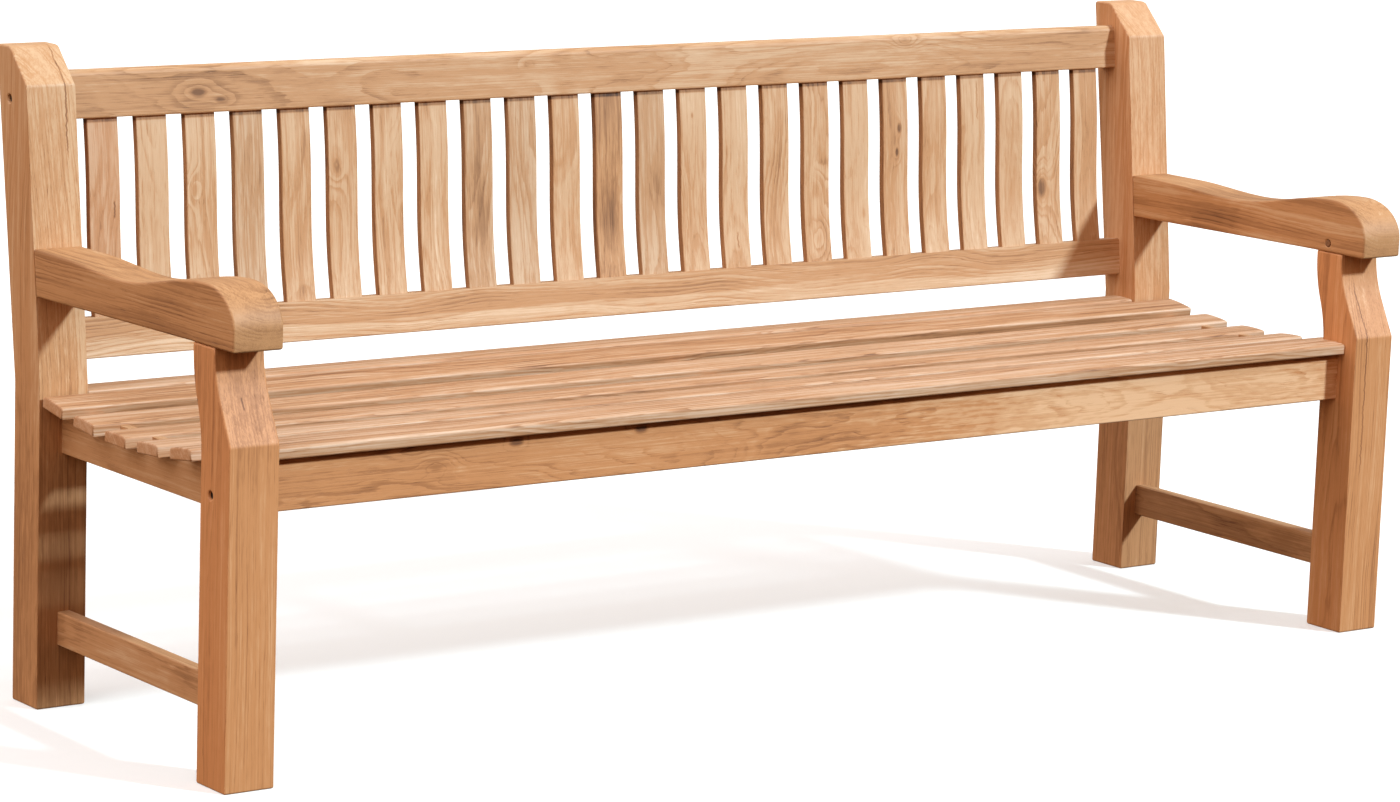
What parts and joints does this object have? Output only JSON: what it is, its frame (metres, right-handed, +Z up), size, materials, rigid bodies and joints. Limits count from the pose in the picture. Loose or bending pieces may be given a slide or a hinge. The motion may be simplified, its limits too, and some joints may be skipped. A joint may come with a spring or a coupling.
{
  "type": "garden bench",
  "caption": "Long slatted hardwood garden bench with raked back of upright slats, dished slatted seat and shaped arms.",
  "frame": {"origin": "on the ground under the middle of the bench, halfway between its front and its back", "axes": "+X along the bench to its right end as seen from the front, -Y towards the front where people sit down, +Z up"},
  "size_m": [1.8, 0.5696, 0.8],
  "materials": {
    "teak_leg": "sanded, unvarnished hardwood",
    "teak_post": "sanded, unvarnished hardwood",
    "teak_arm": "sanded, unvarnished hardwood with soft edges",
    "teak_peg": "end grain, flush and slightly dark",
    "teak_seat_slat": "sanded, unvarnished hardwood with crowned top",
    "teak_back_slat": "sanded, unvarnished hardwood",
    "bolt_steel": "dull steel, recessed head",
    "teak_back_rail": "sanded, unvarnished hardwood",
    "teak_seat_frame": "sanded, unvarnished hardwood"
  },
  "bodies": {
    "root": {"front_leg_left": "teak_leg", "front_leg_right": "teak_leg", "rear_post_left": "teak_post", "rear_post_right": "teak_post", "arm_left": "teak_arm", "arm_right": "teak_arm", "front_seat_rail": "teak_seat_frame", "rear_seat_rail": "teak_seat_frame", "side_seat_rail_left": "teak_seat_frame", "side_seat_rail_right": "teak_seat_frame", "centre_seat_bearer": "teak_seat_frame", "side_stretcher_left": "teak_seat_frame", "side_stretcher_right": "teak_seat_frame", "back_top_rail": "teak_back_rail", "back_bottom_rail": "teak_back_rail", "seat_slat_front": "teak_seat_slat", "seat_slat_mid_1": "teak_seat_slat", "seat_slat_mid_2": "teak_seat_slat", "seat_slat_mid_3": "teak_seat_slat", "seat_slat_mid_4": "teak_seat_slat", "seat_slat_mid_5": "teak_seat_slat", "seat_slat_rear": "teak_seat_slat", "back_slat_01": "teak_back_slat", "back_slat_02": "teak_back_slat", "back_slat_03": "teak_back_slat", "back_slat_04": "teak_back_slat", "back_slat_05": "teak_back_slat", "back_slat_06": "teak_back_slat", "back_slat_07": "teak_back_slat", "back_slat_08": "teak_back_slat", "back_slat_09": "teak_back_slat", "back_slat_10": "teak_back_slat", "back_slat_11": "teak_back_slat", "back_slat_12": "teak_back_slat", "back_slat_13": "teak_back_slat", "back_slat_14": "teak_back_slat", "back_slat_15": "teak_back_slat", "back_slat_16": "teak_back_slat", "back_slat_17": "teak_back_slat", "back_slat_18": "teak_back_slat", "back_slat_19": "teak_back_slat", "back_slat_20": "teak_back_slat", "back_slat_21": "teak_back_slat", "back_slat_22": "teak_back_slat", "back_slat_23": "teak_back_slat", "back_slat_24": "teak_back_slat", "frame_bolts": "bolt_steel", "arm_pegs": "teak_peg"}
  },
  "joints": []
}
